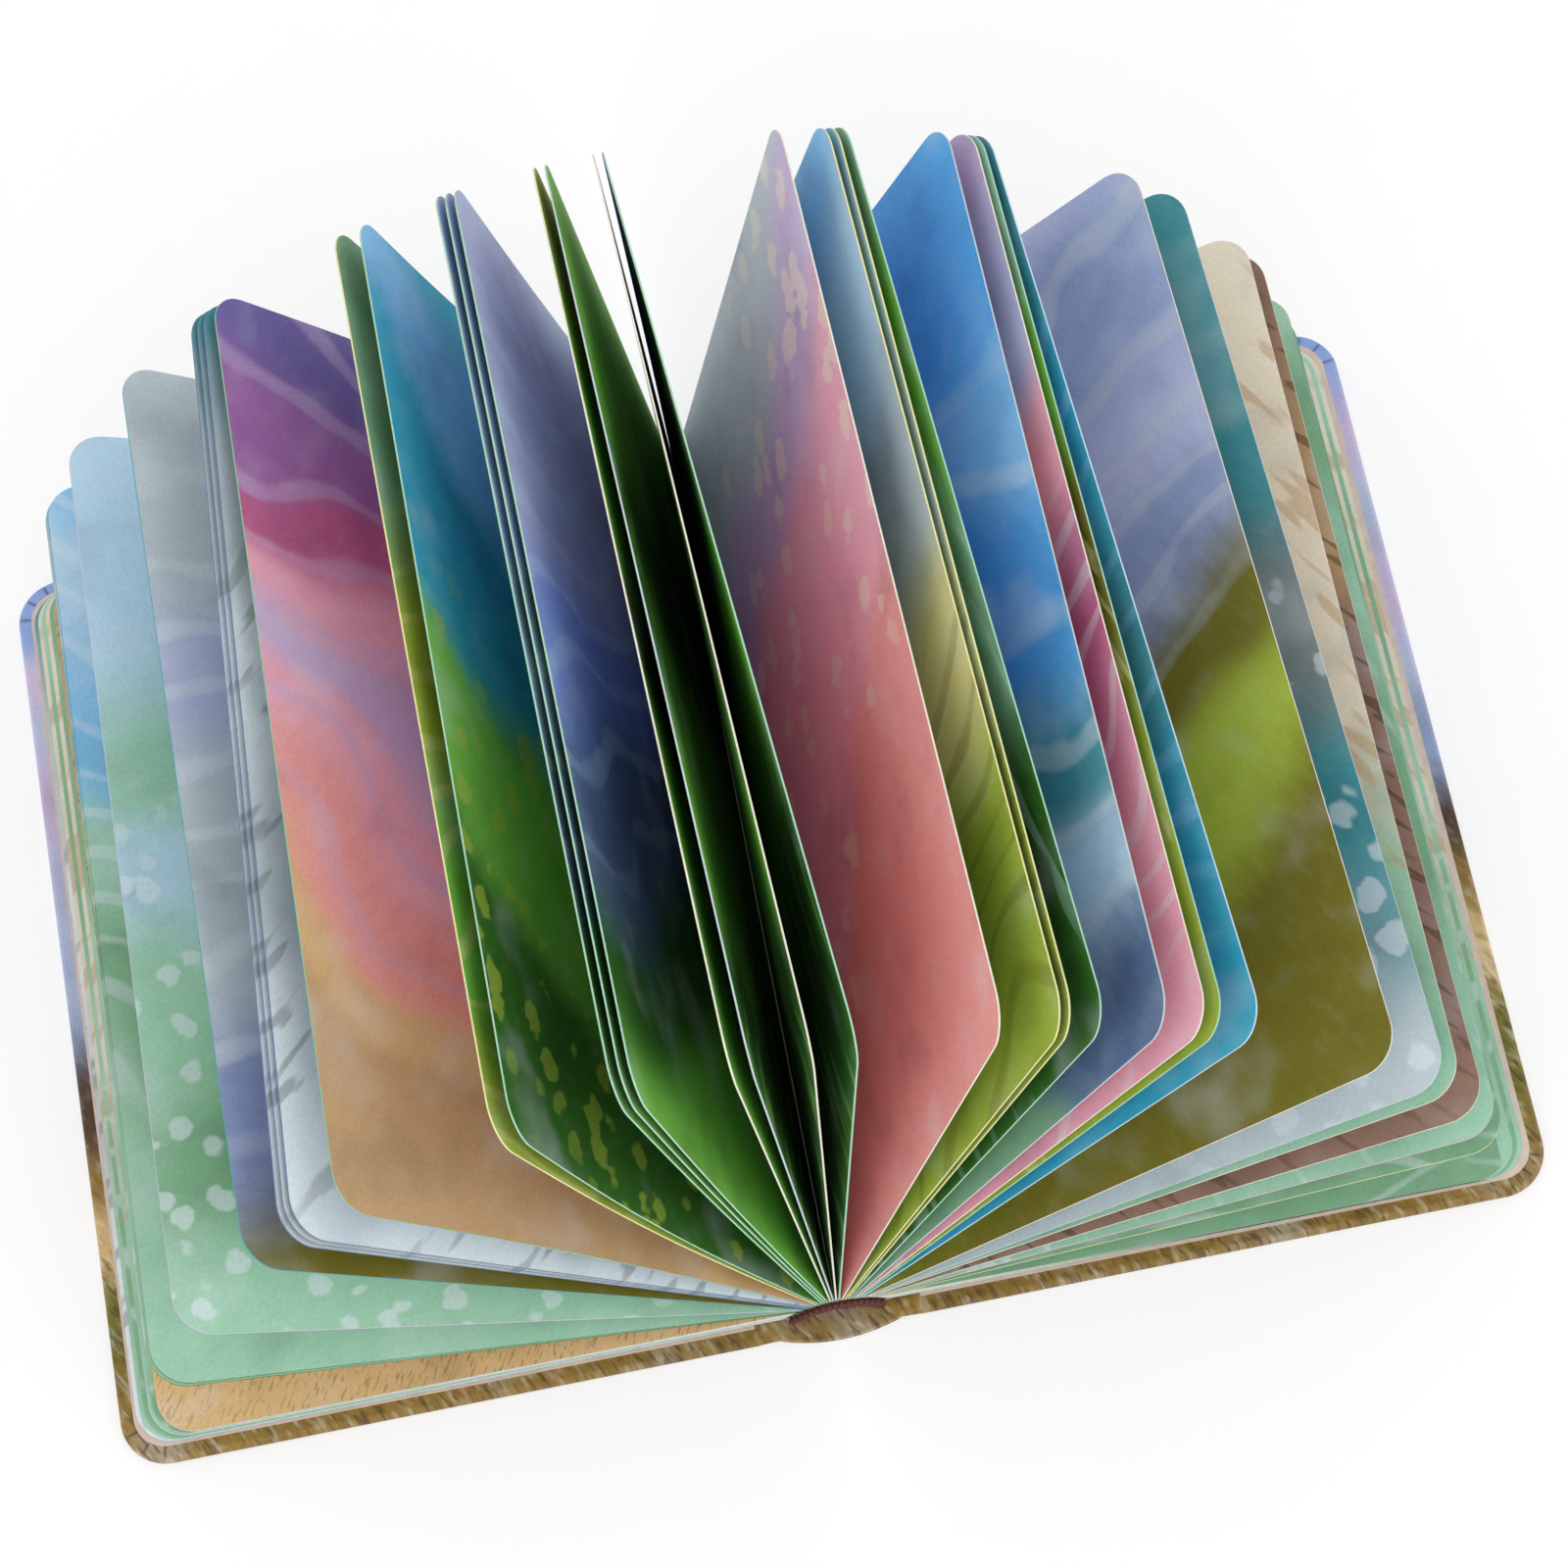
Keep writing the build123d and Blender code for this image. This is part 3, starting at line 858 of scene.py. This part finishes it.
def band_tree():
    """Geometry nodes that wind ribs of thread round a core along a line."""
    tree = bpy.data.node_groups.new("ribbed_band", "GeometryNodeTree")
    tree.is_modifier = True
    face = tree.interface
    face.new_socket("Geometry", in_out="INPUT", socket_type="NodeSocketGeometry")
    for name in ("Pitch", "Depth", "Width"):
        face.new_socket(name, in_out="INPUT", socket_type="NodeSocketFloat")
    face.new_socket("Thread", in_out="INPUT", socket_type="NodeSocketMaterial")
    face.new_socket("Geometry", in_out="OUTPUT", socket_type="NodeSocketGeometry")
    nodes = Nodes(tree)
    source = nodes.add("NodeGroupInput").outputs
    line = nodes.add("GeometryNodeMeshToCurve", {"Mesh": source["Geometry"]}).outputs[0]
    spaced = {"Curve": line, "Length": source["Pitch"]}
    beads = nodes.add("GeometryNodeResampleCurve", spaced, mode="LENGTH").outputs[0]
    ball = nodes.add("GeometryNodeMeshUVSphere", {"Segments": 20, "Rings": 12, "Radius": 0.5}).outputs[0]
    tangent = nodes.add("GeometryNodeInputTangent").outputs[0]
    turn = nodes.add("FunctionNodeAlignRotationToVector", {"Vector": tangent}, axis="Y").outputs[0]
    long = nodes.math("MULTIPLY", source["Pitch"], RIB_SHARE)
    shape = nodes.add("ShaderNodeCombineXYZ", {0: source["Width"], 1: long, 2: source["Depth"]}).outputs[0]
    wound = {"Points": beads, "Instance": ball, "Rotation": turn, "Scale": shape}
    ribs = nodes.add("GeometryNodeInstanceOnPoints", wound)
    thin = nodes.math("MULTIPLY", source["Width"], CORE_SHARE)
    ring = nodes.add("GeometryNodeCurvePrimitiveCircle", {"Resolution": 16, "Radius": thin}).outputs[0]
    rod = {"Curve": line, "Profile Curve": ring, "Fill Caps": True}
    core = nodes.add("GeometryNodeCurveToMesh", rod).outputs[0]
    both = nodes.add("GeometryNodeJoinGeometry")
    tree.links.new(ribs.outputs[0], both.inputs[0])
    tree.links.new(core, both.inputs[0])
    real = nodes.add("GeometryNodeRealizeInstances", {0: both.outputs[0]}).outputs[0]
    smooth = nodes.add("GeometryNodeSetShadeSmooth", {0: real}).outputs[0]
    painted = nodes.add("GeometryNodeSetMaterial", {"Geometry": smooth, "Material": source["Thread"]})
    nodes.add("NodeGroupOutput", {"Geometry": painted.outputs[0]})
    return tree


class JOURNAL_OT_bands(bpy.types.Operator):
    """Makes the ribbed bead and the tape of the band at the head and at the tail"""

    bl_idname = "journal.bands"
    bl_label = "Bands"

    def execute(self, context):
        size = sizes()
        tree = band_tree()
        inputs = [item for item in tree.interface.items_tree if item.in_out == "INPUT"]
        sockets = {item.name: item.identifier for item in inputs}
        thread = kept("band_thread", plain_finish, "maroon", 0.55, 1500.0, 0.6, 0.0002)
        for name, end in (("tailband", -1), ("headband", 1)):
            low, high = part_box(name)
            edge = size.leaf_height / 2
            bead = (high.y if end > 0 else -low.y) - edge
            depth = size.back_thickness + TAPE_THICKNESS
            reach = 1 - depth / size.back_width
            middle = end * (edge + bead / 2)
            line = [arch_point(reach * (step / 20 - 1), depth / 2, middle) for step in range(41)]
            piece = new_piece(f"{name}_bead", line, [], [])
            piece.data.edges.add(len(line) - 1)
            for index, link in enumerate(piece.data.edges):
                link.vertices = (index, index + 1)
            winding = piece.modifiers.new("ribs", "NODES")
            winding.node_group = tree
            winding[sockets["Pitch"]] = size.rib_pitch
            winding[sockets["Depth"]] = depth
            winding[sockets["Width"]] = bead
            winding[sockets["Thread"]] = thread
            made_plain(piece)
            self.finish(piece, name)
            self.finish(self.tape(name, end, edge, depth), name)
        return {"FINISHED"}

    def finish(self, piece, name):
        """A piece of a band that goes with the spine."""
        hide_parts(name)
        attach(piece, "spine")

    def tape(self, name, end, edge, depth):
        """The woven tape that holds the bead, glued under the bound back."""
        size = sizes()
        woven = kept("band_tape", plain_finish, "maroon", 0.7, 1800.0, 0.5, 0.0002)
        columns = TAPE_STEPS + 1
        places = [TAPE_SHARE * (2 * step / TAPE_STEPS - 1) for step in range(columns)]
        points = []
        for layer in (size.back_thickness, depth):
            for height in (edge, edge - TAPE_WIDTH):
                points += [arch_point(place, layer, end * height) for place in places]
        upper, upper_rim, lower, lower_rim = (row * columns for row in range(4))
        faces = grid_faces(2, columns)
        faces += [tuple(reversed(face)) for face in grid_faces(2, columns, lower)]
        for first, second in ((lower, upper), (upper_rim, lower_rim)):
            faces += [(first + i, first + i + 1, second + i + 1, second + i) for i in range(TAPE_STEPS)]
        faces.append((upper, upper_rim, lower_rim, lower))
        faces.append(tuple(row + TAPE_STEPS for row in (lower, lower_rim, upper_rim, upper)))
        if end > 0:
            faces = [tuple(reversed(face)) for face in faces]
        return new_piece(f"{name}_tape", points, faces, [woven])


class JOURNAL_OT_stage(bpy.types.Operator):
    """Makes the floor, the soft light and the camera"""

    bl_idname = "journal.stage"
    bl_label = "Stage"

    def execute(self, context):
        scene = context.scene
        outline = ((-1, -1), (1, -1), (1, 1), (-1, 1))
        corners = [(x * FLOOR_REACH, y * FLOOR_REACH, FLOOR) for x, y in outline]
        floor = new_piece("floor", corners, [(0, 1, 2, 3)], [self.white_table()])
        for name, place, wide, power in LIGHTS:
            lamp = bpy.data.lights.new(name, "AREA")
            lamp.size = wide
            lamp.energy = power
            light = bpy.data.objects.new(name, lamp)
            back = (Vector(place) - Vector((0.0, 0.0, 0.05))).normalized()
            light.matrix_world = Matrix.Translation(place) @ back.to_track_quat("Z", "Y").to_matrix().to_4x4()
            scene.collection.objects.link(light)
        world = scene.world or bpy.data.worlds.new("soft_room")
        scene.world = world
        world.use_nodes = True
        nodes = Nodes(world.node_tree)
        sky = nodes.add("ShaderNodeBackground", {"Color": (1.0, 1.0, 1.0, 1.0), "Strength": ROOM_LIGHT})
        nodes.add("ShaderNodeOutputWorld", {0: sky.outputs[0]})
        scene.view_settings.view_transform = "Standard"
        self.camera(scene)
        return {"FINISHED"}

    def white_table(self):
        """A white table that keeps part of the shadows' depth for the camera."""
        material = kept("table_white", plain_finish, "floor", 0.8, 40.0, 0.02, 0.0001)
        nodes = material.node_tree.nodes
        links = material.node_tree.links
        output = next(node for node in nodes if node.type == "OUTPUT_MATERIAL")
        lit = output.inputs[0].links[0].from_socket
        seen = nodes.new("ShaderNodeLightPath").outputs["Is Camera Ray"]
        part = nodes.new("ShaderNodeMath")
        part.operation = "MULTIPLY"
        part.inputs[1].default_value = FLOOR_GLOW
        links.new(seen, part.inputs[0])
        glow = nodes.new("ShaderNodeEmission")
        both = nodes.new("ShaderNodeMixShader")
        links.new(part.outputs[0], both.inputs[0])
        links.new(lit, both.inputs[1])
        links.new(glow.outputs[0], both.inputs[2])
        links.new(both.outputs[0], output.inputs[0])
        return material

    def camera(self, scene):
        """The camera, from its height above the table, its turn, its tilt, its target and its distance."""
        raised, turned, tilted = (math.radians(angle) for angle in CAMERA_ANGLES)
        level = math.cos(raised)
        back = Vector((math.sin(turned) * level, -math.cos(turned) * level, math.sin(raised)))
        right = Vector((math.cos(turned), math.sin(turned), 0.0))
        up = back.cross(right)
        across = right * math.cos(tilted) + up * math.sin(tilted)
        upright = up * math.cos(tilted) - right * math.sin(tilted)
        lens = bpy.data.cameras.new("camera")
        lens.sensor_width = 36.0
        lens.lens = CAMERA_LENS
        lens.clip_start = 0.01
        lens.clip_end = 20.0
        camera = bpy.data.objects.new("camera", lens)
        turn = Matrix((across, upright, back)).transposed().to_4x4()
        camera.matrix_world = Matrix.Translation(Vector(CAMERA_TARGET) + back * CAMERA_DISTANCE) @ turn
        scene.collection.objects.link(camera)
        scene.camera = camera


OPERATORS = (
    JOURNAL_OT_leaves,
    JOURNAL_OT_back,
    JOURNAL_OT_covers,
    JOURNAL_OT_spine,
    JOURNAL_OT_bands,
    JOURNAL_OT_stage,
)
CLASSES = (JournalPaints, JournalSizes, *OPERATORS, JournalPanel)


def register():
    """Registers the classes and their settings."""
    for kind in CLASSES:
        bpy.utils.register_class(kind)
    bpy.types.Scene.journal_paints = bpy.props.PointerProperty(type=JournalPaints)
    bpy.types.Scene.journal_sizes = bpy.props.PointerProperty(type=JournalSizes)


def unregister():
    """Takes the classes and their settings away again."""
    del bpy.types.Scene.journal_sizes
    del bpy.types.Scene.journal_paints
    for kind in reversed(CLASSES):
        bpy.utils.unregister_class(kind)


def main():
    """Builds every piece and the stage."""
    register()
    bpy.ops.journal.leaves()
    bpy.ops.journal.back()
    bpy.ops.journal.covers()
    bpy.ops.journal.spine()
    bpy.ops.journal.bands()
    bpy.ops.journal.stage()


if __name__ == "__main__":
    main()
